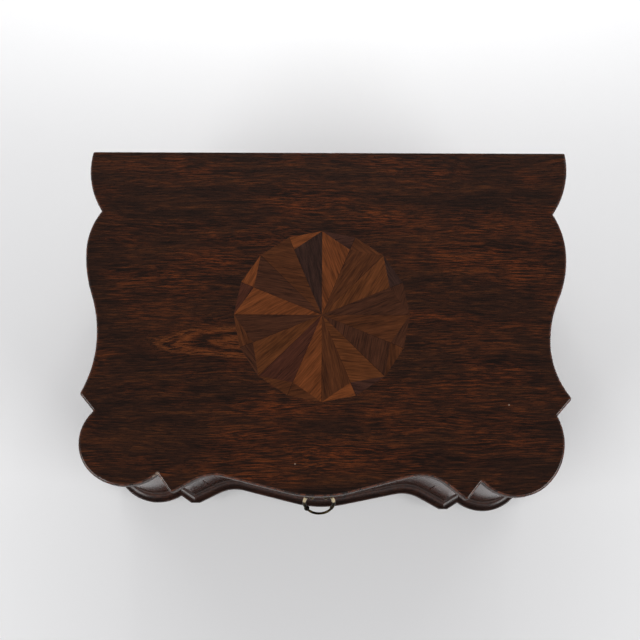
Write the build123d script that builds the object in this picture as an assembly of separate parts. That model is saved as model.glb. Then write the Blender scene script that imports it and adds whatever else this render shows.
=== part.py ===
from build123d import *
import math
import os

# Sewing box with a shaped lid, a star of inlaid veneers and one drawer, in millimetres.
# X runs to the right, Y to the back and Z up. The origin is on the table, under the middle
# of the box's overall width and depth.

os.makedirs("parts", exist_ok=True)

# Overall sizes
lid_width = 341.4
lid_depth = 244.9
total_height = 165.0
back_y = 125.65

# Lid board
lid_thickness = 10.0
lid_edge_round = 2.0
notch_ease = 0.8
point_round = 2.2
lid_gap = 0.3

# Plan of the sides: how far each feature lies in from the lid's side
back_corner_in = 0.2
cusp_in = 10.1
bulge_in = 1.5
waist_in = 14.2
back_round = 4.5

# Plan of the sides: how far each feature lies from the back edge or from the front line
cusp_from_back = 45.2
bulge_from_back = 74.8
waist_from_front = 105.0

# The hand-sawn plan leans: its front lies further left than its back, and its right side
# runs further to the front than its left one
back_middle_x = 0.43
front_shift = 6.4
right_drop = 3.7

# Front corner lobes. Each faces diagonally out at its middle, and ends in a notch at the
# side and a notch at the front. The lid's left lobe is rounder than its right one.
lobe_facing = -48.0
lid_left_notch_in = 16.2
lid_left_notch_from_front = 54.5
lid_left_lobe_in = 17.9
lid_left_lobe_from_front = 12.4
lid_right_notch_in = 10.9
lid_right_notch_from_front = 57.5
lid_right_lobe_in = 18.7
lid_right_lobe_from_front = 11.7
lid_front_notch_in = 62.5
lid_front_notch_from_front = 12.8
base_side_notch_in = 8.5
base_side_notch_from_front = 52.5
base_lobe_in = 15.7
base_lobe_from_front = 10.3
base_front_notch_in = 58.5
base_front_notch_from_front = 7.5

# Points, tips and hollows of the lid, in from the side and back from the front line
lid_left_point_in = 5.9
lid_left_point_from_front = 66.2
lid_right_point_in = 0.6
lid_right_point_from_front = 69.3
lid_tip_in = 72.3
lid_tip_from_front = 0.1
lid_hollow_in = 96.2
lid_left_hollow_from_front = 14.4
lid_right_hollow_from_front = 18.6
lid_bow_vertex = 2.6

# Points, tips and hollows of the moulded base
base_left_point_in = 4.9
base_right_point_in = 1.3
base_point_from_front = 65.0
base_tip_in = 69.8
base_tip_from_front = 0.1
base_hollow_in = 98.9
base_hollow_from_front = 15.3
base_bow_vertex = 0.9
base_tip_cut = 2.0

hollow_radius = 28.0
bow_radius = 90.0

# Case
foot_height = 12.0
base_edge_height = 5.0
base_thickness = 16.0
base_flare = 8.0
cavetto_radius = 6.6
base_edge_round = 1.0
back_overhang = 4.5
back_thickness = 9.0
side_thin = 9.0
front_thin = 9.0
corner_joint_from_front = 55.0
dust_board_thickness = 6.0

# Drawer
opening_half_width = 88.0
opening_height = 47.0
drawer_side_play = 0.5
drawer_play = 0.4
drawer_side_height = 40.0
drawer_side_thickness = 7.0
drawer_bottom_thickness = 3.0
drawer_bottom_up = 3.0
groove_depth = 2.5
guide_thickness = 8.0
stop_play = 0.4
stop_length = 10.7
stop_width = 18.0
stop_height = 10.0

# Compartments under the lid
partition_below_rim = 15.7
partition_thickness = 4.0
long_partition_from_front = 100.0
cushion_bay_half = 48.0
housing_depth = 1.5
cushion_board_thickness = 4.0
ledge_size = 5.0
cushion_top_below_rim = 4.0
cushion_height = 18.0
cushion_play = 0.6
cushion_round = 7.0
lining_thickness = 2.5
lining_margin = 6.0

# Star inlay: eight tips, with a fill piece on each side of every tip
star_radius = 61.0
star_valley = 0.84
star_tips = 8
veneer_thickness = 1.0
star_x = -4.44
star_off_middle = 2.0

# Hinges
hinge_in = 75.7
hinge_length = 34.0
leaf_width = 10.0
leaf_thickness = 1.2
knuckle_radius = 2.5
knuckle_play = 0.4
knuckle_gap = 0.2
hinge_back_offset = 1.5
hinge_pin_radius = 1.0
pin_clearance = 0.05
screw_spacing = 22.0
screw_radius = 1.1
screw_head_radius = 2.2
screw_length = 7.5
screw_plain_length = 4.1
screw_tip_radius = 0.3
screw_from_axis = 6.0
slot_width = 0.6
slot_depth = 0.5

# Drawer pull
pull_height = 38.0
post_spacing = 10.8
post_head_radius = 2.3
post_neck_radius = 1.5
post_stand_off = 2.9
shank_radius = 1.3
rosette_radius = 4.6
rosette_thickness = 1.2
rosette_seat = 0.4
nut_size = 5.5
nut_thickness = 2.5
shank_past_nut = 1.0
bail_pin_radius = 0.95
bail_clearance = 0.08
bail_drop = 21.2
bail_half_width = 11.3
bail_end_x = 9.3
bail_wide_at = 7.4
bail_shoulder_x = 9.4
bail_shoulder_at = 13.9
bail_arm_radius = 1.35
bail_end_radius = 1.4
bail_shoulder_radius = 2.1
bail_loop_radius = 0.95
bail_tilt = 36.0

# Feet
foot_radius = 12.0
foot_neck_radius = 9.0
foot_pad_radius = 9.0
foot_belly_low = 0.3
foot_belly_high = 0.6
front_foot_in = 38.9
front_foot_from_front = 36.0
tenon_radius = 4.5
tenon_length = 9.0
back_foot_in = 36.0
back_foot_from_back = 32.0

# Levels and faces worked out from the sizes above
half_width = lid_width / 2
hinge_x = half_width - hinge_in
front_y = back_y - lid_depth
lid_bottom = total_height - lid_thickness
case_top = lid_bottom - lid_gap
base_top = foot_height + base_thickness
dust_board_bottom = base_top + opening_height
well_floor = dust_board_bottom + dust_board_thickness
case_back = back_y - back_overhang
inner_back = case_back - back_thickness
inner_x = half_width - waist_in - base_flare - side_thin
inner_front = front_y + base_hollow_from_front + base_flare + front_thin
corner_joint_y = front_y + corner_joint_from_front
drawer_half_width = opening_half_width - drawer_side_play
drawer_depth = inner_back - stop_length - stop_play - inner_front
long_partition_y = front_y + long_partition_from_front
axis_y = case_back + hinge_back_offset
axis_z = lid_bottom - lid_gap / 2
drawer_x = back_middle_x - front_shift
tall = 2 * total_height
wide = 2 * lid_width


def slab(x0, x1, y0, y1, z0, z1):
    """Board with square edges between two corners."""
    return Pos((x0 + x1) / 2, (y0 + y1) / 2, (z0 + z1) / 2) * Box(x1 - x0, y1 - y0, z1 - z0)


def leaning(x, y):
    """A place of the even plan, moved to where the leaning one has it."""
    share = (back_y - y) / lid_depth
    return Vector(x + back_middle_x - front_shift * share, y - right_drop * share * x / half_width)


def from_front(side, place):
    """A feature of one side, given as how far in from the side and back from the front."""
    return leaning(side * (half_width - place[0]), front_y + place[1])


def side_outline(side, back, point, tip, lobe):
    """One side of the plan, from the back corner to the tip beside the front's hollow."""
    corner = leaning(side * (half_width - back_corner_in), back)
    cusp = leaning(side * (half_width - cusp_in), back_y - cusp_from_back)
    bulge = leaning(side * (half_width - bulge_in), back_y - bulge_from_back)
    waist = from_front(side, (waist_in, waist_from_front))
    turn = (bulge + waist) / 2
    side_point = from_front(side, point)
    side_notch, lobe_middle, front_notch = (from_front(side, place) for place in lobe)
    facing = math.radians(lobe_facing)
    along_lobe = Vector(-side * math.sin(facing), math.cos(facing))
    front_tip = from_front(side, tip)
    return [
        SagittaArc(corner, cusp, side * back_round),
        TangentArc(bulge, cusp, tangent=(0, 1)),
        TangentArc(bulge, turn, tangent=(0, -1)),
        TangentArc(waist, turn, tangent=(0, 1)),
        TangentArc(waist, side_point, tangent=(0, -1)),
        Line(side_point, side_notch),
        TangentArc(lobe_middle, side_notch, tangent=along_lobe),
        TangentArc(lobe_middle, front_notch, tangent=-along_lobe),
        Line(front_notch, front_tip),
    ]


def outline(back, points, tip, hollows, bow_vertex, lobes):
    """Serpentine plan with sharp notches and points.

    back is the Y of the back edge. The other places lie in from the lid's side and back
    from the lid's front line. points, hollows and lobes have a left and a right one.
    """
    left = side_outline(-1, back, points[0], tip, lobes[0])
    right = side_outline(1, back, points[1], tip, lobes[1])
    left_hollow, right_hollow = hollows
    bow = FilletPolyline(
        right[-1] @ 1,
        leaning(half_width - right_hollow[0], front_y + right_hollow[1]),
        leaning(0, front_y - bow_vertex),
        leaning(left_hollow[0] - half_width, front_y + left_hollow[1]),
        left[-1] @ 1,
        radius=[hollow_radius, bow_radius, hollow_radius],
    )
    back_edge = Line(right[0] @ 0, left[0] @ 0)
    return make_face(Wire(right + left + list(bow.edges()) + [back_edge]))


def eased(sharp, places, radius):
    """The same plan with the corners at these places rounded a little."""
    picked = [sharp.vertices().sort_by_distance(place)[0] for place in places]
    return fillet(picked, radius)


def notch_places(lobes):
    """The six notches: the cusps near the back, and both ends of each corner lobe."""
    places = []
    for side, lobe in zip((-1, 1), lobes):
        places.append(leaning(side * (half_width - cusp_in), back_y - cusp_from_back))
        places += [from_front(side, lobe[0]), from_front(side, lobe[2])]
    return places


def lid_outline():
    front_notch = (lid_front_notch_in, lid_front_notch_from_front)
    lobes = [
        ((lid_left_notch_in, lid_left_notch_from_front),
         (lid_left_lobe_in, lid_left_lobe_from_front), front_notch),
        ((lid_right_notch_in, lid_right_notch_from_front),
         (lid_right_lobe_in, lid_right_lobe_from_front), front_notch),
    ]
    points = [(lid_left_point_in, lid_left_point_from_front),
              (lid_right_point_in, lid_right_point_from_front)]
    tip = (lid_tip_in, lid_tip_from_front)
    hollows = [(lid_hollow_in, lid_left_hollow_from_front), (lid_hollow_in, lid_right_hollow_from_front)]
    sharp = outline(back_y, points, tip, hollows, lid_bow_vertex, lobes)
    worn = []
    for side, point in zip((-1, 1), points):
        worn += [from_front(side, point), from_front(side, tip)]
    return eased(eased(sharp, notch_places(lobes), notch_ease), worn, point_round)


def base_lobes():
    return 2 * [((base_side_notch_in, base_side_notch_from_front),
                 (base_lobe_in, base_lobe_from_front),
                 (base_front_notch_in, base_front_notch_from_front))]


def base_outline():
    """Plan of the base moulding, drawn on past the case's back by the width of the flare."""
    return outline(
        case_back + base_flare,
        [(base_left_point_in, base_point_from_front), (base_right_point_in, base_point_from_front)],
        (base_tip_in, base_tip_from_front),
        2 * [(base_hollow_in, base_hollow_from_front)],
        base_bow_vertex,
        base_lobes(),
    )


def wall_outline():
    """Plan of the case's walls: the base's plan, inset on every side by the flare."""
    return offset(base_outline(), -base_flare, kind=Kind.TANGENT)


def on_level(shape, z):
    return Pos(0, 0, z) * shape


def screw(x, y, z, up):
    """Countersunk wood screw. Its head is level with z, and it points up or down."""
    sign = 1 if up else -1
    head_height = screw_head_radius - screw_radius
    head = Pos(0, 0, head_height / 2) * Cone(screw_head_radius, screw_radius, head_height)
    plain_end = head_height + screw_plain_length
    shank = Pos(0, 0, (head_height + plain_end) / 2) * Cylinder(screw_radius, screw_plain_length)
    point = Pos(0, 0, (plain_end + screw_length) / 2) * Cone(
        screw_radius, screw_tip_radius, screw_length - plain_end)
    slot = slab(-screw_head_radius, screw_head_radius, -slot_width / 2, slot_width / 2, 0, slot_depth)
    body = head + shank + point
    made = body - slot
    flip = Rot(0, 0, 0) if sign > 0 else Rot(180, 0, 0)
    return Pos(x, y, z) * flip * made, Pos(x, y, z) * flip * body


def leaf(x, upper):
    """Hinge leaf with its share of the knuckles, bored for the pin."""
    x0 = x - hinge_length / 2
    third = hinge_length / 3
    if upper:
        z0 = lid_bottom
        spans = [(x0 + third + knuckle_gap / 2, x0 + 2 * third - knuckle_gap / 2)]
        bore = hinge_pin_radius + pin_clearance
    else:
        z0 = case_top - leaf_thickness
        spans = [(x0, x0 + third - knuckle_gap / 2),
                 (x0 + 2 * third + knuckle_gap / 2, x0 + hinge_length)]
        bore = hinge_pin_radius
    z1 = z0 + leaf_thickness
    shape = slab(x0, x0 + hinge_length, axis_y - leaf_width, axis_y - knuckle_radius, z0, z1)
    for start, end in spans:
        arm = slab(start, end, axis_y - leaf_width, axis_y, z0, z1)
        barrel = Pos((start + end) / 2, axis_y, axis_z) * Rot(0, 90, 0) * Cylinder(
            knuckle_radius, end - start)
        shape += arm + barrel
    hole = Pos(x, axis_y, axis_z) * Rot(0, 90, 0) * Cylinder(bore, 2 * hinge_length)
    return shape - hole


def hinge_gain(x, upper):
    """Room cut in the wood for a leaf and for the turning knuckle."""
    x0 = x - hinge_length / 2
    z0 = lid_bottom if upper else case_top - leaf_thickness
    room = slab(x0, x0 + hinge_length, axis_y - leaf_width, axis_y + wide, z0, z0 + leaf_thickness)
    groove_radius = knuckle_radius + knuckle_play
    groove = Pos(x, axis_y, axis_z) * Rot(0, 90, 0) * Cylinder(
        groove_radius, hinge_length + 2 * knuckle_gap)
    way_out = slab(x0 - knuckle_gap, x0 + hinge_length + knuckle_gap,
                   axis_y, axis_y + wide, axis_z - groove_radius, axis_z + groove_radius)
    return room + groove + way_out


def hinge_screws(upper):
    """The two screws of each leaf: the made screws, and their plain forms for the holes."""
    made = []
    plain = []
    level = lid_bottom if upper else case_top
    for x in (-hinge_x, hinge_x):
        for step in (-screw_spacing / 2, screw_spacing / 2):
            one, form = screw(x + step, axis_y - screw_from_axis, level, upper)
            made.append(one)
            plain.append(form)
    return made, plain


def cut_all(shape, tools):
    for tool in tools:
        shape -= tool
    return shape


def star_points():
    """Tips, valleys and outer corners of the star, in order round its middle."""
    middle = Vector(star_x, (back_y + front_y) / 2 + star_off_middle)
    step = 180 / star_tips

    def at(radius, degrees):
        angle = math.radians(degrees)
        return middle + Vector(math.cos(angle), math.sin(angle)) * radius

    tips = [at(star_radius, 90 - 2 * step * i) for i in range(star_tips)]
    valleys = [at(star_radius * star_valley, 90 - 2 * step * i - step) for i in range(star_tips)]
    corners = [at(star_radius, 90 - 2 * step * i - step) for i in range(star_tips)]
    return middle, tips, valleys, corners


def star_pieces():
    """Veneers of the star: light and dark half rays, and light and dark fills."""
    middle, tips, valleys, corners = star_points()
    groups = {"star_light_rays": [], "star_dark_rays": [],
              "star_light_fills": [], "star_dark_fills": []}
    veneer_z = total_height - veneer_thickness

    def veneer(*points):
        face = make_face(Polyline(*points, close=True))
        return extrude(on_level(face, veneer_z), veneer_thickness)

    for i in range(star_tips):
        after = (i + 1) % star_tips
        groups["star_light_rays"].append(veneer(middle, tips[i], valleys[i]))
        groups["star_dark_rays"].append(veneer(middle, valleys[i], tips[after]))
        groups["star_dark_fills"].append(veneer(tips[i], corners[i], valleys[i]))
        groups["star_light_fills"].append(veneer(corners[i], tips[after], valleys[i]))
    return groups


def star_bed():
    """Recess in the lid that takes the whole star."""
    middle, tips, valleys, corners = star_points()
    rim = []
    for tip, corner in zip(tips, corners):
        rim += [tip, corner]
    face = make_face(Polyline(*rim, close=True))
    return extrude(on_level(face, total_height - veneer_thickness), 2 * veneer_thickness)


def shaped_top_edges(board, straight_back):
    """Edges round the top of a board, without the straight one at its back."""
    edges = board.faces().sort_by(Axis.Z)[-1].edges()
    return edges.filter_by(lambda edge: (edge @ 0.5).Y < straight_back - notch_ease)


def lid_board():
    """Oak board with a rounded top edge, the star's bed and the hinge gains."""
    board = extrude(on_level(lid_outline(), lid_bottom), lid_thickness)
    board = fillet(shaped_top_edges(board, back_y), lid_edge_round)
    board -= star_bed()
    for x in (-hinge_x, hinge_x):
        board -= hinge_gain(x, True)
    return cut_all(board, hinge_screws(True)[1])


def base_board():
    """Base moulding: a thin shaped edge below, and a cavetto that sweeps up to the walls."""
    behind = slab(-wide, wide, case_back, case_back + wide, -tall, tall)
    edge_face = eased(base_outline(), notch_places(base_lobes()), notch_ease)
    edge = extrude(on_level(edge_face, foot_height), base_edge_height)
    edge = fillet(shaped_top_edges(edge, case_back + base_flare), base_edge_round) - behind
    step_z = foot_height + base_edge_height
    block = extrude(on_level(wall_outline(), step_z), base_top - step_z)
    board = edge + block
    corner_line = []
    for edge_line in wall_outline().edges():
        where = edge_line @ 0.5
        if where.Y < case_back - notch_ease:
            corner_line.append(board.edges().sort_by_distance((where.X, where.Y, step_z))[0])
    board = fillet(corner_line, cavetto_radius)
    for side in (-1, 1):
        tip = leaning(side * (half_width - base_tip_in), front_y + base_tip_from_front)
        blunt = tip.Y + base_tip_cut
        board -= slab(tip.X - base_flare, tip.X + base_flare, blunt - base_flare, blunt, 0, tall)
    for x, y in foot_places():
        board -= Pos(x, y, foot_height + tenon_length / 2) * Cylinder(tenon_radius, tenon_length)
    return board


def walls(z0, z1):
    """The case's full plan as a solid, from which each wall is taken."""
    return extrude(on_level(wall_outline(), z0), z1 - z0)


def side_board(side):
    x0, x1 = sorted((side * inner_x, side * wide))
    board = walls(base_top, case_top) & slab(x0, x1, corner_joint_y, case_back, 0, tall)
    return board


def corner_block(side):
    """Front corner with its lobe and tip. Its inside is cut square to the compartment."""
    x0, x1 = sorted((drawer_x + side * opening_half_width, side * wide))
    block = walls(base_top, case_top) & slab(x0, x1, -wide, corner_joint_y, 0, tall)
    return block - slab(-inner_x, inner_x, inner_front, wide, 0, tall)


def front_rail():
    rail = walls(dust_board_bottom, case_top)
    rail &= slab(drawer_x - opening_half_width, drawer_x + opening_half_width,
                 -wide, inner_front, 0, tall)
    return cut_all(rail, [housing(x) for x in (-cushion_bay_half, cushion_bay_half)])


def housing(x):
    """Shallow upright groove in the front rail and the long partition for a short one."""
    half = partition_thickness / 2
    return slab(x - half, x + half, inner_front - housing_depth,
                long_partition_y - half + housing_depth, well_floor, case_top)


def back_board():
    board = slab(-inner_x, inner_x, inner_back, case_back, base_top, case_top)
    for x in (-hinge_x, hinge_x):
        board -= hinge_gain(x, False)
    return cut_all(board, hinge_screws(False)[1])


def long_partition():
    half = partition_thickness / 2
    board = slab(-inner_x, inner_x, long_partition_y - half, long_partition_y + half,
                 well_floor, case_top - partition_below_rim)
    return cut_all(board, [housing(x) for x in (-cushion_bay_half, cushion_bay_half)])


def short_partition(side):
    """Cross partition, housed in the front rail and in the long partition."""
    x = side * cushion_bay_half
    half = partition_thickness / 2
    return slab(x - half, x + half, inner_front - housing_depth,
                long_partition_y - half + housing_depth,
                well_floor, case_top - partition_below_rim)


def cushion_levels():
    """Bottom of the ledges, bottom and top of the board, and top of the cushion."""
    top = case_top - cushion_top_below_rim
    board_top = top - cushion_height
    board_bottom = board_top - cushion_board_thickness
    return board_bottom - ledge_size, board_bottom, board_top, top


def cushion_ledges():
    ledge_bottom, board_bottom, board_top, top = cushion_levels()
    face = cushion_bay_half - partition_thickness / 2
    ledges = []
    for side in (-1, 1):
        x0, x1 = sorted((side * face, side * (face - ledge_size)))
        ledges.append(slab(x0, x1, inner_front, long_partition_y - partition_thickness / 2,
                           ledge_bottom, board_bottom))
    return ledges


def cushion_board():
    ledge_bottom, board_bottom, board_top, top = cushion_levels()
    face = cushion_bay_half - partition_thickness / 2
    return slab(-face, face, inner_front, long_partition_y - partition_thickness / 2,
                board_bottom, board_top)


def cushion():
    """Stuffed cushion with a crowned top, glued on its board."""
    ledge_bottom, board_bottom, board_top, top = cushion_levels()
    half = cushion_bay_half - partition_thickness / 2 - cushion_play
    pad = slab(-half, half, inner_front + cushion_play,
               long_partition_y - partition_thickness / 2 - cushion_play, board_top, top)
    return fillet(pad.faces().sort_by(Axis.Z)[-1].edges(), cushion_round)


def dust_board():
    return slab(-inner_x, inner_x, inner_front, inner_back, dust_board_bottom, well_floor)


def drawer_guide(side):
    """Upright board beside the drawer. It guides the drawer and carries the dust board."""
    near = drawer_x + side * opening_half_width
    x0, x1 = sorted((near, near + side * guide_thickness))
    return slab(x0, x1, inner_front, inner_back, base_top, dust_board_bottom)


def drawer_stops():
    stops = []
    for side in (-1, 1):
        outer = drawer_x + side * drawer_half_width
        x0, x1 = sorted((outer, outer - side * stop_width))
        stops.append(slab(x0, x1, inner_back - stop_length, inner_back,
                          base_top, base_top + stop_height))
    return stops


def lid_lining():
    """Padded lining under the lid, inside the rim of the case."""
    return slab(-inner_x + lining_margin, inner_x - lining_margin,
                inner_front + lining_margin, inner_back - lining_margin,
                lid_bottom - lining_thickness, lid_bottom)


def drawer_bottom_levels():
    low = base_top + drawer_play + drawer_bottom_up
    return low, low + drawer_bottom_thickness


def drawer_groove():
    """Space of the drawer's bottom panel, let into the front and the sides."""
    low, high = drawer_bottom_levels()
    half = drawer_half_width - drawer_side_thickness + groove_depth
    return slab(drawer_x - half, drawer_x + half,
                inner_front - groove_depth, inner_front + drawer_depth, low, high)


def drawer_front():
    """Serpentine drawer front, flat inside, with seats and holes for the pull's posts."""
    z0 = base_top + drawer_play
    z1 = dust_board_bottom - drawer_play
    front = walls(z0, z1)
    front &= slab(drawer_x - drawer_half_width, drawer_x + drawer_half_width,
                  -wide, inner_front, 0, tall)
    for x in (drawer_x - post_spacing / 2, drawer_x + post_spacing / 2):
        front -= along_y(x, -wide, rosette_face(), rosette_radius)
        front -= along_y(x, -wide, wide, shank_radius)
    return front - drawer_groove()


def drawer_side(side):
    outer = drawer_x + side * drawer_half_width
    x0, x1 = sorted((outer, outer - side * drawer_side_thickness))
    z0 = base_top + drawer_play
    board = slab(x0, x1, inner_front, inner_front + drawer_depth, z0, z0 + drawer_side_height)
    return board - drawer_groove()


def drawer_back():
    half = drawer_half_width - drawer_side_thickness
    low, high = drawer_bottom_levels()
    end = inner_front + drawer_depth
    top = base_top + drawer_play + drawer_side_height
    return slab(drawer_x - half, drawer_x + half, end - drawer_side_thickness, end, high, top)


def bow_face():
    """Y of the foremost part of the drawer front's outer face."""
    bow = wall_outline().edges().sort_by_distance(leaning(0, front_y))[0]
    return (bow @ 0.5).Y


def along_y(x, y0, y1, radius):
    z = base_top + pull_height
    return Pos(x, (y0 + y1) / 2, z) * Rot(90, 0, 0) * Cylinder(radius, y1 - y0)


def rosette_face():
    return bow_front + rosette_seat


def pull_rosettes():
    """Small round plates let flat into the curved front under the posts."""
    rosettes = []
    for x in (drawer_x - post_spacing / 2, drawer_x + post_spacing / 2):
        back = rosette_face()
        disc = along_y(x, back - rosette_thickness, back, rosette_radius)
        rim = disc.edges().sort_by(Axis.Y)[0]
        disc = chamfer(rim, rosette_thickness / 2)
        rosettes.append(disc - along_y(x, -wide, wide, post_neck_radius))
    return rosettes


def pull_post(side):
    """Turned post: ball head with a cross hole, neck, and shank through the drawer front."""
    x = drawer_x + side * post_spacing / 2
    z = base_top + pull_height
    pivot_y = bow_front - post_stand_off
    neck_start = math.sqrt(post_head_radius ** 2 - post_neck_radius ** 2)
    neck_end = rosette_face() - pivot_y
    shank_end = inner_front + nut_thickness + shank_past_nut - pivot_y
    profile = make_face(Wire([
        ThreePointArc((0, -post_head_radius), (post_head_radius, 0),
                      (post_neck_radius, neck_start)),
        Line((post_neck_radius, neck_start), (post_neck_radius, neck_end)),
        Line((post_neck_radius, neck_end), (shank_radius, neck_end)),
        Line((shank_radius, neck_end), (shank_radius, shank_end)),
        Line((shank_radius, shank_end), (0, shank_end)),
        Line((0, shank_end), (0, -post_head_radius)),
    ]))
    turned = Pos(x, pivot_y, z) * revolve(profile, Axis.Y)
    hole = Pos(x, pivot_y, z) * Rot(0, 90, 0) * Cylinder(
        bail_pin_radius + bail_clearance, 3 * post_head_radius)
    return turned - hole


def pull_nuts():
    nuts = []
    z = base_top + pull_height
    for x in (drawer_x - post_spacing / 2, drawer_x + post_spacing / 2):
        nut = slab(x - nut_size / 2, x + nut_size / 2, inner_front, inner_front + nut_thickness,
                   z - nut_size / 2, z + nut_size / 2)
        nuts.append(nut - along_y(x, -wide, wide, shank_radius))
    return nuts


def bail():
    """Drop handle, drawn hanging in its own plane and then swung out to its place."""
    plane = Plane.XZ
    arms = []
    for side in (-1, 1):
        top = Vector(side * bail_end_x, 0)
        wide_at = Vector(side * bail_half_width, -bail_wide_at)
        shoulder = Vector(side * bail_shoulder_x, -bail_shoulder_at)
        path = plane * ThreePointArc(top, wide_at, shoulder)
        ring = Plane(path @ 0, z_dir=path % 0) * Circle(bail_arm_radius)
        pin_length = bail_end_x - post_spacing / 2 + post_head_radius
        pin = Pos(side * (bail_end_x - pin_length / 2), 0, 0) * Rot(0, 90, 0) * Cylinder(
            bail_pin_radius, pin_length)
        arms += [
            sweep(ring, path),
            pin,
            Pos(top.X, 0, 0) * Sphere(bail_end_radius),
            Pos(shoulder.X, 0, shoulder.Y) * Sphere(bail_shoulder_radius),
        ]
    left = Vector(-bail_shoulder_x, -bail_shoulder_at)
    right = Vector(bail_shoulder_x, -bail_shoulder_at)
    loop_path = plane * ThreePointArc(left, Vector(0, bail_loop_radius - bail_drop), right)
    loop_ring = Plane(loop_path @ 0, z_dir=loop_path % 0) * Circle(bail_loop_radius)
    shape = sweep(loop_ring, loop_path)
    for piece in arms:
        shape += piece
    pivot = Pos(drawer_x, bow_front - post_stand_off, base_top + pull_height)
    return pivot * Rot(-bail_tilt, 0, 0) * shape


def foot_places():
    """Under both corner lobes, and near both back corners."""
    places = [(half_width - front_foot_in, front_y + front_foot_from_front),
              (half_width - back_foot_in, back_y - back_foot_from_back)]
    return [tuple(leaning(side * x, y))[:2] for x, y in places for side in (-1, 1)]


def foot(x, y):
    """Turned foot with a short tapered belly, a neck and a round tenon in the base."""
    belly_low = foot_height * foot_belly_low
    belly_high = foot_height * foot_belly_high
    tenon_top = foot_height + tenon_length
    profile = make_face(Polyline(
        (0, 0),
        (foot_pad_radius, 0),
        (foot_radius, belly_low),
        (foot_radius, belly_high),
        (foot_neck_radius, foot_height),
        (tenon_radius, foot_height),
        (tenon_radius, tenon_top),
        (0, tenon_top),
        close=True,
    ))
    return Pos(x, y, 0) * revolve(Plane.XZ * profile, Axis.Z)


def hinge_pin(x):
    return Pos(x, axis_y, axis_z) * Rot(0, 90, 0) * Cylinder(hinge_pin_radius, hinge_length)


def leaf_with_holes(x, upper):
    return cut_all(leaf(x, upper), hinge_screws(upper)[1])


def save(name, shape):
    """Write one node. A list is a group of separate, identical or matching solids."""
    if isinstance(shape, list):
        shape = Compound(children=[Solid(part.solid().wrapped) for part in shape])
    export_step(shape, f"parts/{name}.step")


bow_front = bow_face()

save("lid_board", lid_board())
for group_name, veneers in star_pieces().items():
    save(group_name, veneers)
save("lid_lining", lid_lining())
save("base_board", base_board())
save("back_board", back_board())
save("front_rail", front_rail())
save("dust_board", dust_board())
save("drawer_stops", drawer_stops())
save("long_partition", long_partition())
save("cushion_ledges", cushion_ledges())
save("cushion_board", cushion_board())
save("pincushion", cushion())
save("drawer_front", drawer_front())
save("drawer_back", drawer_back())
save("drawer_bottom", drawer_groove())
save("pull_rosettes", pull_rosettes())
save("pull_nuts", pull_nuts())
save("pull_bail", bail())
save("lid_hinge_screws", hinge_screws(True)[0])
save("case_hinge_screws", hinge_screws(False)[0])
for label, side in (("left", -1), ("right", 1)):
    save(f"side_board_{label}", side_board(side))
    save(f"corner_block_{label}", corner_block(side))
    save(f"drawer_guide_{label}", drawer_guide(side))
    save(f"drawer_side_{label}", drawer_side(side))
    save(f"short_partition_{label}", short_partition(side))
    save(f"pull_post_{label}", pull_post(side))
    save(f"lid_leaf_{label}", leaf_with_holes(side * hinge_x, True))
    save(f"case_leaf_{label}", leaf_with_holes(side * hinge_x, False))
    save(f"hinge_pin_{label}", hinge_pin(side * hinge_x))
foot_names = ("front_left", "front_right", "back_left", "back_right")
for foot_name, (x, y) in zip(foot_names, foot_places()):
    save(f"foot_{foot_name}", foot(x, y))
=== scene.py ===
"""Sewing box: dark stained oak with a star of inlaid veneers on its shaped lid.

Lengths are in metres in the part's frame: +X right, -Y front, +Z up, origin on the table.
Patterns and marks in the materials are given in millimetres in the same frame.
"""
import math

import bmesh
import bpy
from mathutils import Matrix, Vector


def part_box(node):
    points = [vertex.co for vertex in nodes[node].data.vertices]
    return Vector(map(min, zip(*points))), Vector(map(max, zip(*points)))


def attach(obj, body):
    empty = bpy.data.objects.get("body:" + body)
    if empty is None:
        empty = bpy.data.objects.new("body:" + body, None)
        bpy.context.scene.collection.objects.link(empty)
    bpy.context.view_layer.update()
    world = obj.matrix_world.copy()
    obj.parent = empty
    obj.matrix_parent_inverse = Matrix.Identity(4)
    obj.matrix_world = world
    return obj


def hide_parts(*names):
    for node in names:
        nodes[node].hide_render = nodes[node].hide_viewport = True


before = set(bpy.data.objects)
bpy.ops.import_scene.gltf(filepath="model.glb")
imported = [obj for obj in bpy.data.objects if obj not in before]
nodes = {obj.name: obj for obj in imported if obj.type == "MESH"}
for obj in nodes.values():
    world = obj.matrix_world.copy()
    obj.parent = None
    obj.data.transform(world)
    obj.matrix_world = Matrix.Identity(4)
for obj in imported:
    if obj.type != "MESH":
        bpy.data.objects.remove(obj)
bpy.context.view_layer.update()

# Camera: a long lens stands over the box and a little in front of it, turned slightly, as
# the picture was taken. The picture is square.
picture_side = 640
focal_pixels = 973
sensor_side = 36.0
lean = math.radians(13.76)
turn = math.radians(0.21)
lid_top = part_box("lid_board")[1].z
target = Vector((-0.00569, 0.00153, lid_top))
distance = 0.6727

lens_back = Vector((0, -math.sin(lean), math.cos(lean)))
level_right = Vector((1, 0, 0))
level_up = lens_back.cross(level_right)
lens_right = level_right * math.cos(turn) + level_up * math.sin(turn)
lens_up = level_up * math.cos(turn) - level_right * math.sin(turn)
camera_data = bpy.data.cameras.new("camera")
camera_data.sensor_width = sensor_side
camera_data.lens = sensor_side * focal_pixels / picture_side
camera = bpy.data.objects.new("camera", camera_data)
stand = Matrix((lens_right, lens_up, lens_back)).transposed().to_4x4()
stand.translation = target + lens_back * distance
camera.matrix_world = stand
bpy.context.scene.collection.objects.link(camera)
bpy.context.scene.camera = camera
bpy.context.scene.view_settings.view_transform = "Standard"


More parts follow.
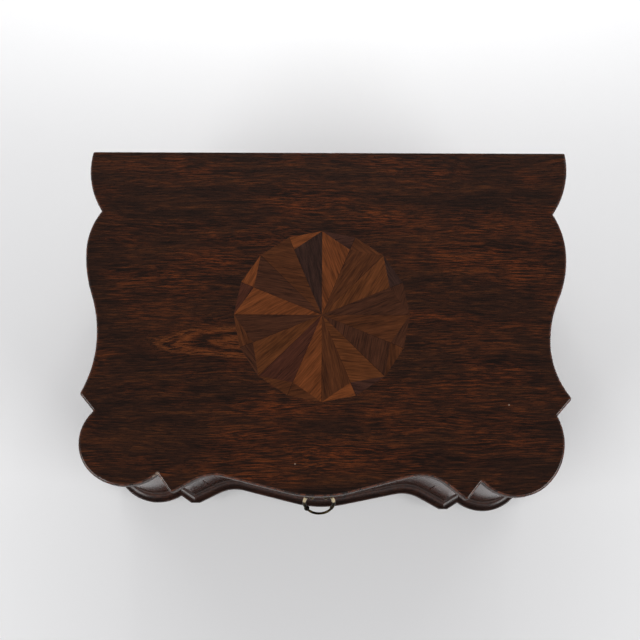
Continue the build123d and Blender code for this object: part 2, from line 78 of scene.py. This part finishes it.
# Table: matt pale paper, laid on a table. It runs on far past the picture, so that it is
# the backdrop too, and it carries nothing but the box and its soft shadow.
def linear(colour):
    """sRGB hex colour, such as "#8A4420", as linear RGBA."""
    values = [int(colour[i:i + 2], 16) / 255 for i in (1, 3, 5)]
    return tuple(v / 12.92 if v <= 0.04045 else ((v + 0.055) / 1.055) ** 2.4
                 for v in values) + (1,)


def add(tree, kind, settings, links=None):
    """Add a node. settings holds its properties, its sockets' plain values and a ramp's
    stops, and links holds the outputs that its sockets are joined to."""
    made = tree.nodes.new("ShaderNode" + kind)
    for key, value in settings.items():
        if key == "stops":
            ramp = made.color_ramp
            while len(ramp.elements) < len(value):
                ramp.elements.new(1.0)
            for element, (position, colour) in zip(ramp.elements, value):
                element.position = position
                element.color = linear(colour) if isinstance(colour, str) else (colour,) * 3 + (1,)
        elif key == "steps":
            made.color_ramp.interpolation = value
        elif isinstance(key, str) and hasattr(made, key):
            setattr(made, key, value)
        else:
            made.inputs[key].default_value = value
    for key, source in (links or {}).items():
        tree.links.new(source, made.inputs[key])
    return made


def new_material(name):
    """Empty node material: its tree and itself."""
    material = bpy.data.materials.new(name)
    material.use_nodes = True
    material.node_tree.nodes.clear()
    return material.node_tree, material


table_half = 3.0
paper_tree, paper = new_material("matt_paper")
paper_shader = add(paper_tree, "BsdfPrincipled", {
    "Base Color": linear("#E6E6E6"), "Roughness": 0.9, "Specular IOR Level": 0.2})
add(paper_tree, "OutputMaterial", {}, {"Surface": paper_shader.outputs[0]})
table_mesh = bpy.data.meshes.new("table")
table_form = bmesh.new()
bmesh.ops.create_grid(table_form, x_segments=1, y_segments=1, size=table_half)
table_form.to_mesh(table_mesh)
table_form.free()
table_mesh.materials.append(paper)
table = bpy.data.objects.new("table", table_mesh)
bpy.context.scene.collection.objects.link(table)


# Lamps: two broad soft ones low in front, one to each side, with a weak strip between them,
# and three behind that light the paper there. The room is dim, so the varnish on the lid
# stays dark, and only the rounded edges and the hollows of the moulding catch a light.
box_middle = (0, 0, 0.1)
box_back = (0, 0.2, 0.1)
paper_behind = (0, 0.3, 0)
for name, place, aim, width, height, watts in (
        ("lamp_left", (-1.15, -0.75, 0.95), box_middle, 1.1, 0.6, 14),
        ("lamp_right", (1.15, -0.75, 0.95), box_middle, 1.1, 0.6, 14),
        ("lamp_front", (0, -1.5, 0.75), box_middle, 1.3, 0.3, 1),
        ("lamp_back_left", (-0.9, 1.5, 0.8), box_back, 0.9, 0.5, 5.2),
        ("lamp_back", (0, 0.9, 0.5), paper_behind, 0.6, 0.3, 6),
        ("lamp_back_right", (0.9, 1.5, 0.8), box_back, 0.9, 0.5, 5.2)):
    lamp_data = bpy.data.lights.new(name, "AREA")
    lamp_data.shape = "RECTANGLE"
    lamp_data.size = width
    lamp_data.size_y = height
    lamp_data.energy = watts
    lamp = bpy.data.objects.new(name, lamp_data)
    lamp.location = place
    lamp.rotation_euler = (Vector(aim) - Vector(place)).to_track_quat("-Z", "Y").to_euler()
    bpy.context.scene.collection.objects.link(lamp)

# The room: palest some way above the table, and dark overhead.
world = bpy.data.worlds.new("light_tent")
world.use_nodes = True
world.node_tree.nodes.clear()
room = world.node_tree
direction = add(room, "TexCoord", {})
rise = add(room, "SeparateXYZ", {}, {0: direction.outputs["Generated"]})
walls = add(room, "ValToRGB", {"stops": [
    (0.0, "#5A5A5E"), (0.15, "#6E6E72"), (0.45, "#C8C8CC"),
    (0.68, "#96969A"), (0.85, "#4A4A4E"), (1.0, "#38383C")]}, {0: rise.outputs["Z"]})
glow = add(room, "Background", {"Strength": 0.9}, {"Color": walls.outputs[0]})
add(room, "OutputWorld", {}, {"Surface": glow.outputs[0]})
bpy.context.scene.world = world


# Lid, walls, moulded base and feet: oak, sawn so that its pores lie as fine dark lines. It is
# stained nearly black-brown, rubbed through to orange here and there, varnished and waxed,
# which gives it a clear gloss, duller where hands and dust have been.
mm = 0.001
mark_depth = 20


def millimetres(along, across):
    """Mapping scale for a pattern with one feature per so many millimetres."""
    return (1000 / along, 1000 / across, 1000 / across)


def round_patch(tree, place, middle, reach):
    """Share of a round patch, 1 in its middle and 0 from its reach on. Both are in mm."""
    centred = add(tree, "Mapping", {
        "vector_type": "TEXTURE", "Location": [length * mm for length in middle],
        "Scale": [length * mm for length in reach]}, {"Vector": place.outputs["Object"]})
    patch = add(tree, "TexGradient", {"gradient_type": "SPHERICAL"},
                {"Vector": centred.outputs[0]})
    return patch.outputs["Fac"]


def stained_oak(name, grain_turn, stain, wear, edge_dots, upright_rough, rounded_rough,
                marks=(), hearts=(), chips=()):
    """Oak with its grain turned onto X by grain_turn, in the four tones of stain.

    wear and edge_dots are how far its faces and its rounded edges are rubbed, from 0 to 1,
    and upright_rough and rounded_rough are the roughness of its varnish there. marks are
    rubbed patches of the lid, and hearts are places where the growth rings run out in long
    arches, each with its middle, half length and half width. chips are places where a
    splinter has gone, each with its middle and its radius.
    """
    tree, material = new_material(name)
    place = add(tree, "TexCoord", {})
    turned = add(tree, "Mapping", {"Rotation": grain_turn}, {"Vector": place.outputs["Object"]})

    # Slow bends, 90 mm long and 30 mm wide, shift the grain by up to 10 mm.
    bend_scale = add(tree, "Mapping", {"Scale": millimetres(90, 30)},
                     {"Vector": turned.outputs[0]})
    bend = add(tree, "TexNoise", {"Scale": 1.0, "Detail": 2.0}, {"Vector": bend_scale.outputs[0]})
    shift = add(tree, "VectorMath", {"operation": "SCALE", "Scale": 10 * mm},
                {0: bend.outputs["Color"]})
    wood = add(tree, "VectorMath", {"operation": "ADD"},
               {0: turned.outputs[0], 1: shift.outputs[0]})

    layers = []
    for along, across, detail, roughness in (
            (90, 6, 3.0, 0.6),  # growth figure
            (14, 0.8, 6.0, 0.62),  # streaks of the stain
            (5, 0.55, 4.0, 0.7)):  # pores
        layer_scale = add(tree, "Mapping", {"Scale": millimetres(along, across)},
                          {"Vector": wood.outputs[0]})
        layers.append(add(tree, "TexNoise", {
            "Scale": 1.0, "Detail": detail, "Roughness": roughness},
            {"Vector": layer_scale.outputs[0]}))
    figure, streak, pore = layers

    # Where the stain is rubbed: patches of about 60 by 26 mm, and the marks on the lid.
    patch_scale = add(tree, "Mapping", {"Scale": millimetres(60, 26)},
                      {"Vector": turned.outputs[0]})
    patch = add(tree, "TexNoise", {"Scale": 1.0, "Detail": 3.0},
                {"Vector": patch_scale.outputs[0]})
    worn = add(tree, "ValToRGB", {"stops": [(0.45, 0.0), (0.72, wear)]},
               {0: patch.outputs[0]}).outputs[0]
    for x, y, half_length, half_width in marks:
        mark = round_patch(tree, place, (x, y, lid_top / mm),
                           (half_length, half_width, mark_depth))
        worn = add(tree, "Math", {"operation": "MAXIMUM"}, {0: mark, 1: worn}).outputs[0]

    ground_mix = add(tree, "Math", {"operation": "MULTIPLY_ADD", 1: 0.55},
                     {0: figure.outputs[0], 2: streak.outputs[0]})
    ground = add(tree, "ValToRGB", {"stops": list(zip((0.60, 0.74, 0.84, 0.98), stain))},
                 {0: ground_mix.outputs[0]})
    bare = add(tree, "ValToRGB", {"stops": [(0.46, 0.0), (0.66, 1.0)]}, {0: streak.outputs[0]})
    rubbed = add(tree, "Math", {"operation": "MULTIPLY"}, {0: bare.outputs[0], 1: worn})
    board = add(tree, "Mix", {"data_type": "RGBA", 7: linear("#6C3214")},
                {0: rubbed.outputs[0], 6: ground.outputs[0]}).outputs[2]

    # Arches of the growth rings, with an outline that the streaks make ragged.
    for x, y, half_length, half_width in hearts:
        centred = add(tree, "Mapping", {
            "vector_type": "TEXTURE", "Location": (x * mm, y * mm, lid_top),
            "Scale": (half_length * mm, half_width * mm, mark_depth * mm)},
            {"Vector": wood.outputs[0]})
        out = add(tree, "VectorMath", {"operation": "LENGTH"}, {0: centred.outputs[0]})
        ragged = add(tree, "Math", {"operation": "MULTIPLY_ADD", 1: 0.45},
                     {0: streak.outputs[0], 2: out.outputs["Value"]})
        rings = add(tree, "TexNoise", {"noise_dimensions": "1D", "Scale": 8.0, "Detail": 1.0},
                    {"W": ragged.outputs[0]})
        arch = add(tree, "ValToRGB", {"stops": [
            (0.36, "#150E0A"), (0.47, "#24140D"), (0.56, "#5C2E15"), (0.70, "#74401F")]},
            {0: rings.outputs[0]})
        near = add(tree, "MapRange", {
            "From Min": 1.0, "From Max": 0.6, "To Min": 0.0, "To Max": 0.75},
            {"Value": out.outputs["Value"]})
        board = add(tree, "Mix", {"data_type": "RGBA"}, {
            0: near.outputs[0], 6: board, 7: arch.outputs[0]}).outputs[2]
    pore_line = add(tree, "ValToRGB", {"stops": [(0.36, 0.8), (0.48, 0.0)]},
                    {0: pore.outputs[0]})
    grained = add(tree, "Mix", {"data_type": "RGBA", 7: linear("#160E0B")},
                  {0: pore_line.outputs[0], 6: board})

    # Rounded edges are handled most: the stain is worn there in dots about 3 mm apart.
    steepness = add(tree, "SeparateXYZ", {}, {0: place.outputs["Normal"]})
    edge = add(tree, "ValToRGB", {"stops": [(0.35, 0.0), (0.6, 1.0), (0.88, 1.0), (0.97, 0.0)]},
               {0: steepness.outputs["Z"]})
    dot_scale = add(tree, "Mapping", {"Scale": millimetres(3, 3)},
                    {"Vector": place.outputs["Object"]})
    dots = add(tree, "TexNoise", {"Scale": 1.0, "Detail": 3.0}, {"Vector": dot_scale.outputs[0]})
    thin = add(tree, "ValToRGB", {"stops": [(0.42, 0.0), (0.62, edge_dots)]},
               {0: dots.outputs[0]})
    edge_wear = add(tree, "Math", {"operation": "MULTIPLY"},
                    {0: edge.outputs[0], 1: thin.outputs[0]})
    surface = add(tree, "Mix", {"data_type": "RGBA", 7: linear("#6E3C26")},
                  {0: edge_wear.outputs[0], 6: grained.outputs[2]}).outputs[2]
    for x, y, z, radius in chips:
        chip = round_patch(tree, place, (x, y, z), (radius,) * 3)
        shown = add(tree, "ValToRGB", {"stops": [(0.1, 0.0), (0.6, 0.7)]}, {0: chip})
        surface = add(tree, "Mix", {"data_type": "RGBA", 7: linear("#94806F")},
                      {0: shown.outputs[0], 6: surface}).outputs[2]

    polish = add(tree, "ValToRGB", {"stops": [
        (0.15, upright_rough), (0.3, rounded_rough), (0.9, rounded_rough), (0.99, 0.24)]},
        {0: steepness.outputs["Z"]})
    gloss = add(tree, "Math", {"operation": "MULTIPLY_ADD", 1: 0.08},
                {0: pore.outputs[0], 2: polish.outputs[0]})
    relief = add(tree, "Bump", {"Strength": 0.10, "Distance": 0.2 * mm},
                 {"Height": pore.outputs[0]})
    shader = add(tree, "BsdfPrincipled", {"IOR": 1.43}, {
        "Base Color": surface, "Roughness": gloss.outputs[0], "Normal": relief.outputs[0]})
    add(tree, "OutputMaterial", {}, {"Surface": shader.outputs[0]})
    return material


def dress(material, *names):
    for name in names:
        nodes[name].data.materials.clear()
        nodes[name].data.materials.append(material)


along_x = (0, 0, 0)
along_y = (0, 0, math.radians(-90))
upright = (0, math.radians(90), 0)

dress(stained_oak(
    "stained_oak_lid", along_x, ("#170E0A", "#25150E", "#2F1A10", "#462613"),
    wear=0.75, edge_dots=0.6, upright_rough=0.5, rounded_rough=0.2,
    marks=[(-80, -18, 44, 9), (70, 4, 34, 7), (8, -92, 70, 16), (-84, 44, 40, 14),
           (40, 76, 50, 14), (-30, -60, 60, 10)],
    hearts=[(-46, -10.5, 92, 15)],
    chips=[(-113.6, -104, 163.8, 2.2), (-110.6, -107.5, 163.5, 2), (-116, -105.8, 163.5, 1.8),
           (122.5, -57.2, 165, 0.75), (-22, -97.4, 165, 0.75)]), "lid_board")
dress(stained_oak(
    "stained_oak_base", along_x, ("#150C09", "#20110C", "#29160F", "#362014"),
    wear=0.15, edge_dots=0.15, upright_rough=0.3, rounded_rough=0.24), "base_board")
for name, grain_turn, boards in (
        ("stained_oak_along_x", along_x, ["front_rail", "drawer_front", "back_board"]),
        ("stained_oak_along_y", along_y, ["side_board_left", "side_board_right"]),
        ("stained_oak_upright", upright, [
            "corner_block_left", "corner_block_right", "foot_front_left", "foot_front_right",
            "foot_back_left", "foot_back_right"])):
    dress(stained_oak(
        name, grain_turn, ("#1C0F0B", "#2C150F", "#3A1B12", "#4C2618"),
        wear=0.45, edge_dots=0.1, upright_rough=0.16, rounded_rough=0.24), *boards)


# Star: thirty-two veneers a millimetre thick, let into the lid round one point: eight kites,
# each half light and half dark, with two small fills between neighbours. Walnut, rosewood and
# fruitwoods, each with its own tone and its own grain direction, sanded level and varnished.
star_middle = (-0.00444, 0.0052)
star_points = 8
veneer_angle = math.pi / star_points
half_veneer = 1 / (4 * star_points)
wood_tones = {"pale": "#5A2F15", "honey": "#4E2A13", "tan": "#442411", "brown": "#391F12",
              "rose": "#3B1E13", "dark": "#331D15", "black": "#2B1A14"}


def around(start, values):
    """Ramp stops of eight values in turn. The first begins at start, a share of a turn."""
    stops = [(start + i / star_points, value) for i, value in enumerate(values + values[:1])]
    if start > 0:
        return [(0.0, values[-1])] + stops[:star_points]
    return [(max(edge, 0.0), value) for edge, value in stops]


def star_veneer(name, tones, grain_angles, start):
    """Eight veneers in turn from the back, clockwise. Their tones and their grain change at
    start and every eighth of a turn after it, between one veneer and the next."""
    tree, material = new_material(name)
    place = add(tree, "TexCoord", {})
    centred = add(tree, "Mapping", {"Location": (star_middle[1], star_middle[0], 0),
                                    "Rotation": (0, 0, math.radians(90)), "Scale": (-1, 1, 1)},
                  {"Vector": place.outputs["Object"]})
    round_star = add(tree, "TexGradient", {"gradient_type": "RADIAL"},
                     {"Vector": centred.outputs[0]})
    tone = add(tree, "ValToRGB", {"steps": "CONSTANT", "stops": around(
        start, [wood_tones[wood] for wood in tones])}, {0: round_star.outputs["Fac"]})
    heading = add(tree, "ValToRGB", {"steps": "CONSTANT", "stops": around(
        start, [angle / 180 for angle in grain_angles])}, {0: round_star.outputs["Fac"]})
    radians = add(tree, "Math", {"operation": "MULTIPLY", 1: -math.pi}, {0: heading.outputs[0]})
    laid = add(tree, "VectorRotate", {"rotation_type": "Z_AXIS"},
               {"Vector": place.outputs["Object"], "Angle": radians.outputs[0]})
    band_scale = add(tree, "Mapping", {"Scale": millimetres(45, 3.2)},
                     {"Vector": laid.outputs[0]})
    band = add(tree, "TexNoise", {"Scale": 1.0, "Detail": 3.0}, {"Vector": band_scale.outputs[0]})
    line_scale = add(tree, "Mapping", {"Scale": millimetres(9, 0.8)}, {"Vector": laid.outputs[0]})
    line = add(tree, "TexNoise", {"Scale": 1.0, "Detail": 2.0}, {"Vector": line_scale.outputs[0]})
    depth = add(tree, "Math", {"operation": "MULTIPLY_ADD", 1: 0.8},
                {0: band.outputs[0], 2: line.outputs[0]})
    shade = add(tree, "MapRange", {
        "From Min": 0.6, "From Max": 1.2, "To Min": 0.45, "To Max": 1.55},
        {"Value": depth.outputs[0]})

    # Dark glue in the sixteen joints that run out from the middle. reach starts at the
    # table under the star, so it hardly changes, and the lines taper towards the middle.
    turned = add(tree, "Math", {"operation": "MULTIPLY", 1: math.tau},
                 {0: round_star.outputs["Fac"]})
    off_joint = add(tree, "Math", {"operation": "PINGPONG", 1: veneer_angle / 2},
                    {0: turned.outputs[0]})
    slant = add(tree, "Math", {"operation": "SINE"}, {0: off_joint.outputs[0]})
    reach = add(tree, "VectorMath", {"operation": "LENGTH"}, {0: centred.outputs[0]})
    aside = add(tree, "Math", {"operation": "MULTIPLY"},
                {0: slant.outputs[0], 1: reach.outputs["Value"]})
    glue = add(tree, "MapRange", {
        "From Min": 0.1 * mm, "From Max": 0.9 * mm, "To Min": 0.35, "To Max": 1.0},
        {"Value": aside.outputs[0]})
    lit = add(tree, "Math", {"operation": "MULTIPLY"}, {0: shade.outputs[0], 1: glue.outputs[0]})
    colour = add(tree, "VectorMath", {"operation": "SCALE"},
                 {0: tone.outputs[0], "Scale": lit.outputs[0]})
    relief = add(tree, "Bump", {"Strength": 0.06, "Distance": 0.2 * mm},
                 {"Height": line.outputs[0]})
    shader = add(tree, "BsdfPrincipled", {"IOR": 1.5, "Roughness": 0.27}, {
        "Base Color": colour.outputs[0], "Normal": relief.outputs[0]})
    add(tree, "OutputMaterial", {}, {"Surface": shader.outputs[0]})
    return material


for node, name, tones, grain_angles, start in (
        ("star_light_rays", "light_veneer_rays",
         ["pale", "honey", "tan", "honey", "pale", "honey", "pale", "tan"],
         [110, 60, 10, 175, 50, 40, 30, 170], -half_veneer),
        ("star_dark_rays", "dark_veneer_rays",
         ["tan", "brown", "brown", "tan", "rose", "brown", "brown", "black"],
         [55, 20, 80, 100, 45, 5, 170, 100], half_veneer),
        ("star_light_fills", "light_veneer_fills",
         ["tan", "brown", "tan", "pale", "tan", "tan", "pale", "pale"],
         [140, 70, 90, 15, 20, 110, 65, 20], half_veneer),
        ("star_dark_fills", "dark_veneer_fills",
         ["dark", "black", "brown", "dark", "tan", "brown", "rose", "tan"],
         [10, 120, 60, 170, 10, 130, 60, 175], -half_veneer)):
    dress(star_veneer(name, tones, grain_angles, start), node)


# Silk lining: faded red silk over wadding, sewn down in diamonds and glued under the lid.
# Each diamond is 34 mm long and wide, and swells between its seams.
silk_low, silk_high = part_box("lid_lining")
silk_size = silk_high - silk_low
silk_middle = (silk_low + silk_high) / 2
silk_cells = (150, 104)
diamond = 34 * mm
seam_stands = 0.6 * mm
swell_stands = 1.8 * mm
soft_rim = 6 * mm


def cloth_material(name, colour, deep, thread, rough, sheen):
    """Woven cloth or pile, in a colour and its deeper tone. thread is the spacing of its
    weave in millimetres."""
    tree, material = new_material(name)
    place = add(tree, "TexCoord", {})
    wide_scale = add(tree, "Mapping", {"Scale": millimetres(18, 18)},
                     {"Vector": place.outputs["Object"]})
    fade = add(tree, "TexNoise", {"Scale": 1.0, "Detail": 3.0}, {"Vector": wide_scale.outputs[0]})
    thread_scale = add(tree, "Mapping", {"Scale": millimetres(thread * 4, thread)},
                       {"Vector": place.outputs["Object"]})
    weave = add(tree, "TexNoise", {"Scale": 1.0, "Detail": 1.0},
                {"Vector": thread_scale.outputs[0]})
    mixed = add(tree, "Math", {"operation": "MULTIPLY_ADD", 1: 0.5},
                {0: weave.outputs[0], 2: fade.outputs[0]})
    tone = add(tree, "ValToRGB", {"stops": [(0.55, deep), (0.95, colour)]}, {0: mixed.outputs[0]})
    relief = add(tree, "Bump", {"Strength": 0.25, "Distance": 0.2 * mm},
                 {"Height": weave.outputs[0]})
    shader = add(tree, "BsdfPrincipled", {
        "Roughness": rough, "Sheen Weight": sheen, "Sheen Roughness": 0.4, "IOR": 1.46},
        {"Base Color": tone.outputs[0], "Normal": relief.outputs[0]})
    add(tree, "OutputMaterial", {}, {"Surface": shader.outputs[0]})
    return material


def put(name, form, material, body):
    """Make a piece's object from its finished bmesh, with its normals recalculated."""
    bmesh.ops.recalc_face_normals(form, faces=form.faces)
    mesh = bpy.data.meshes.new(name)
    form.to_mesh(mesh)
    form.free()
    mesh.materials.append(material)
    for face in mesh.polygons:
        face.use_smooth = True
    piece = bpy.data.objects.new(name, mesh)
    bpy.context.scene.collection.objects.link(piece)
    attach(piece, body)
    return piece


silk_form = bmesh.new()
bmesh.ops.create_grid(silk_form, x_segments=silk_cells[0], y_segments=silk_cells[1], size=0.5)
bmesh.ops.scale(silk_form, vec=(silk_size.x, silk_size.y, 1), verts=silk_form.verts)
bmesh.ops.translate(silk_form, vec=(silk_middle.x, silk_middle.y, 0), verts=silk_form.verts)
for vertex in silk_form.verts:
    one_seam = abs(math.sin(math.pi * (vertex.co.x + vertex.co.y) / diamond))
    other_seam = abs(math.sin(math.pi * (vertex.co.x - vertex.co.y) / diamond))
    from_rim = min(vertex.co.x - silk_low.x, silk_high.x - vertex.co.x,
                   vertex.co.y - silk_low.y, silk_high.y - vertex.co.y)
    fullness = min(1.0, from_rim / soft_rim) ** 0.5
    swelling = swell_stands * (one_seam * other_seam) ** 0.4 * fullness
    vertex.co.z = silk_high.z - (seam_stands + swelling)
rim_edges = [edge for edge in silk_form.edges if edge.is_boundary]
turned_up = bmesh.ops.extrude_edge_only(silk_form, edges=rim_edges)["geom"]
for item in turned_up:
    if isinstance(item, bmesh.types.BMVert):
        item.co.z = silk_high.z
bmesh.ops.contextual_create(silk_form, geom=[
    item for item in turned_up if isinstance(item, bmesh.types.BMEdge)])
silk = cloth_material("quilted_silk", "#8A3A35", "#5C2422", thread=0.25, rough=0.45, sheen=0.4)
lining = put("silk_lining", silk_form, silk, "lid")
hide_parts("lid_lining")


# Pincushion: dark red velvet, stuffed hard with bran, on a thin board between the front
# compartments. The cloth swells between its sewn sides and sinks a little along the rim.
pad_low, pad_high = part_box("pincushion")
side_room = 2 * mm
top_room = 5 * mm
pad_cuts = 30
pad_size = pad_high - pad_low - Vector((2 * side_room, 2 * side_room, top_room))
pad_middle = (pad_low + pad_high) / 2
pad_form = bmesh.new()
bmesh.ops.create_cube(pad_form, size=1.0)
bmesh.ops.scale(pad_form, vec=pad_size, verts=pad_form.verts)
bmesh.ops.translate(pad_form, vec=(pad_middle.x, pad_middle.y, pad_low.z + pad_size.z / 2),
                    verts=pad_form.verts)
bmesh.ops.subdivide_edges(pad_form, edges=pad_form.edges, cuts=pad_cuts, use_grid_fill=True)
velvet = cloth_material("bran_filled_velvet", "#6A1A20", "#3A0E12",
                        thread=0.3, rough=0.85, sheen=0.8)
cushion = put("velvet_cushion", pad_form, velvet, "root")


def swell(piece, low, high, pressure, frames):
    """Blow the piece up as cloth, then keep every point inside the box from low to high."""
    bpy.context.view_layer.objects.active = piece
    cloth = piece.modifiers.new("stuffing", "CLOTH")
    cloth.settings.use_pressure = True
    cloth.settings.uniform_pressure_force = pressure
    cloth.settings.effector_weights.gravity = 0
    cloth.settings.quality = 6
    cloth.point_cache.frame_start = 1
    cloth.point_cache.frame_end = frames
    for moment in range(1, frames + 1):
        bpy.context.scene.frame_set(moment)
    blown = piece.evaluated_get(bpy.context.evaluated_depsgraph_get()).to_mesh()
    places = [vertex.co.copy() for vertex in blown.vertices]
    piece.modifiers.remove(cloth)
    bpy.context.scene.frame_set(1)
    for vertex, place in zip(piece.data.vertices, places):
        vertex.co = [max(a, min(b, c)) for a, b, c in zip(low, high, place)]


swell(cushion, pad_low, pad_high, pressure=4.0, frames=20)
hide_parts("pincushion")


# Inside of the case and the drawer: plain oak boards, planed and waxed. They are paler and
# duller than the outside, with darker pores.
def plain_oak(name, grain_turn):
    tree, material = new_material(name)
    place = add(tree, "TexCoord", {})
    turned = add(tree, "Mapping", {"Rotation": grain_turn}, {"Vector": place.outputs["Object"]})
    figure_scale = add(tree, "Mapping", {"Scale": millimetres(110, 8)},
                       {"Vector": turned.outputs[0]})
    figure = add(tree, "TexNoise", {"Scale": 1.0, "Detail": 3.0},
                 {"Vector": figure_scale.outputs[0]})
    pore_scale = add(tree, "Mapping", {"Scale": millimetres(8, 0.7)},
                     {"Vector": turned.outputs[0]})
    pore = add(tree, "TexNoise", {"Scale": 1.0, "Detail": 2.0}, {"Vector": pore_scale.outputs[0]})
    tone = add(tree, "ValToRGB", {"stops": [
        (0.32, "#8F6740"), (0.5, "#A97C4F"), (0.7, "#BD9263")]}, {0: figure.outputs[0]})
    pore_line = add(tree, "ValToRGB", {"stops": [(0.34, 0.7), (0.46, 0.0)]},
                    {0: pore.outputs[0]})
    colour = add(tree, "Mix", {"data_type": "RGBA", 7: linear("#6B4A2C")},
                 {0: pore_line.outputs[0], 6: tone.outputs[0]})
    relief = add(tree, "Bump", {"Strength": 0.15, "Distance": 0.2 * mm},
                 {"Height": pore.outputs[0]})
    shader = add(tree, "BsdfPrincipled", {"IOR": 1.5, "Roughness": 0.55}, {
        "Base Color": colour.outputs[2], "Normal": relief.outputs[0]})
    add(tree, "OutputMaterial", {}, {"Surface": shader.outputs[0]})
    return material


dress(plain_oak("waxed_oak_along_x", along_x), "dust_board", "long_partition", "cushion_board",
      "drawer_back", "drawer_stops", "drawer_bottom")
dress(plain_oak("waxed_oak_along_y", along_y), "short_partition_left", "short_partition_right",
      "cushion_ledges", "drawer_guide_left", "drawer_guide_right", "drawer_side_left",
      "drawer_side_right")


# Hinges and drawer pull: cast and turned brass, aged dark brown, and rubbed bright where
# fingers and the other parts touch it. The bail's two bends also carry painted highlights,
# pale cream spots. The screws and pins are iron wire, with a grey skin.
def worn_metal(name, bright, skin, rough, patch, rubbed=()):
    """Metal with a darker skin. patch is the size of the marks in that skin, in millimetres.
    rubbed are places given a painted highlight, a pale cream spot, each with its middle and its
    radius."""
    tree, material = new_material(name)
    place = add(tree, "TexCoord", {})
    mark_scale = add(tree, "Mapping", {"Scale": millimetres(patch, patch)},
                     {"Vector": place.outputs["Object"]})
    mark = add(tree, "TexNoise", {"Scale": 1.0, "Detail": 4.0}, {"Vector": mark_scale.outputs[0]})
    colour = add(tree, "ValToRGB", {"stops": [(0.42, skin), (0.68, bright)]},
                 {0: mark.outputs[0]}).outputs[0]
    # Each of these places gets a painted highlight: a pale cream spot laid over the skin.
    for x, y, z, radius in rubbed:
        painted_highlight_spot = round_patch(tree, place, (x, y, z), (radius,) * 3)
        shown = add(tree, "ValToRGB", {"stops": [(0.1, 0.0), (0.5, 1.0)]}, {0: painted_highlight_spot})
        colour = add(tree, "Mix", {"data_type": "RGBA", 7: linear("#D8C6A2")},
                     {0: shown.outputs[0], 6: colour}).outputs[2]
    roughness = add(tree, "MapRange", {"To Min": rough + 0.12, "To Max": rough - 0.08},
                    {"Value": mark.outputs[0]})
    relief = add(tree, "Bump", {"Strength": 0.15, "Distance": 0.1 * mm},
                 {"Height": mark.outputs[0]})
    shader = add(tree, "BsdfPrincipled", {"Metallic": 1.0}, {
        "Base Color": colour, "Roughness": roughness.outputs[0], "Normal": relief.outputs[0]})
    add(tree, "OutputMaterial", {}, {"Surface": shader.outputs[0]})
    return material


dress(worn_metal("aged_brass", "#75603E", "#1F1913", rough=0.28, patch=2.5),
      "pull_rosettes", "pull_post_left", "pull_post_right", "pull_nuts", "lid_leaf_left",
      "lid_leaf_right", "case_leaf_left", "case_leaf_right")
# Painted highlights on the bail: pale cream spots on its two bends, where the lamps would gleam.
bail_painted_highlights = [(-16.6, -115.2, 64, 3.6), (4.8, -115.2, 64, 3.6)]
dress(worn_metal("blackened_brass", "#4E4028", "#14110D", rough=0.30, patch=4, rubbed=bail_painted_highlights),
      "pull_bail")
dress(worn_metal("iron_wire", "#6A6763", "#35322F", rough=0.45, patch=1.5),
      "lid_hinge_screws", "case_hinge_screws", "hinge_pin_left", "hinge_pin_right")
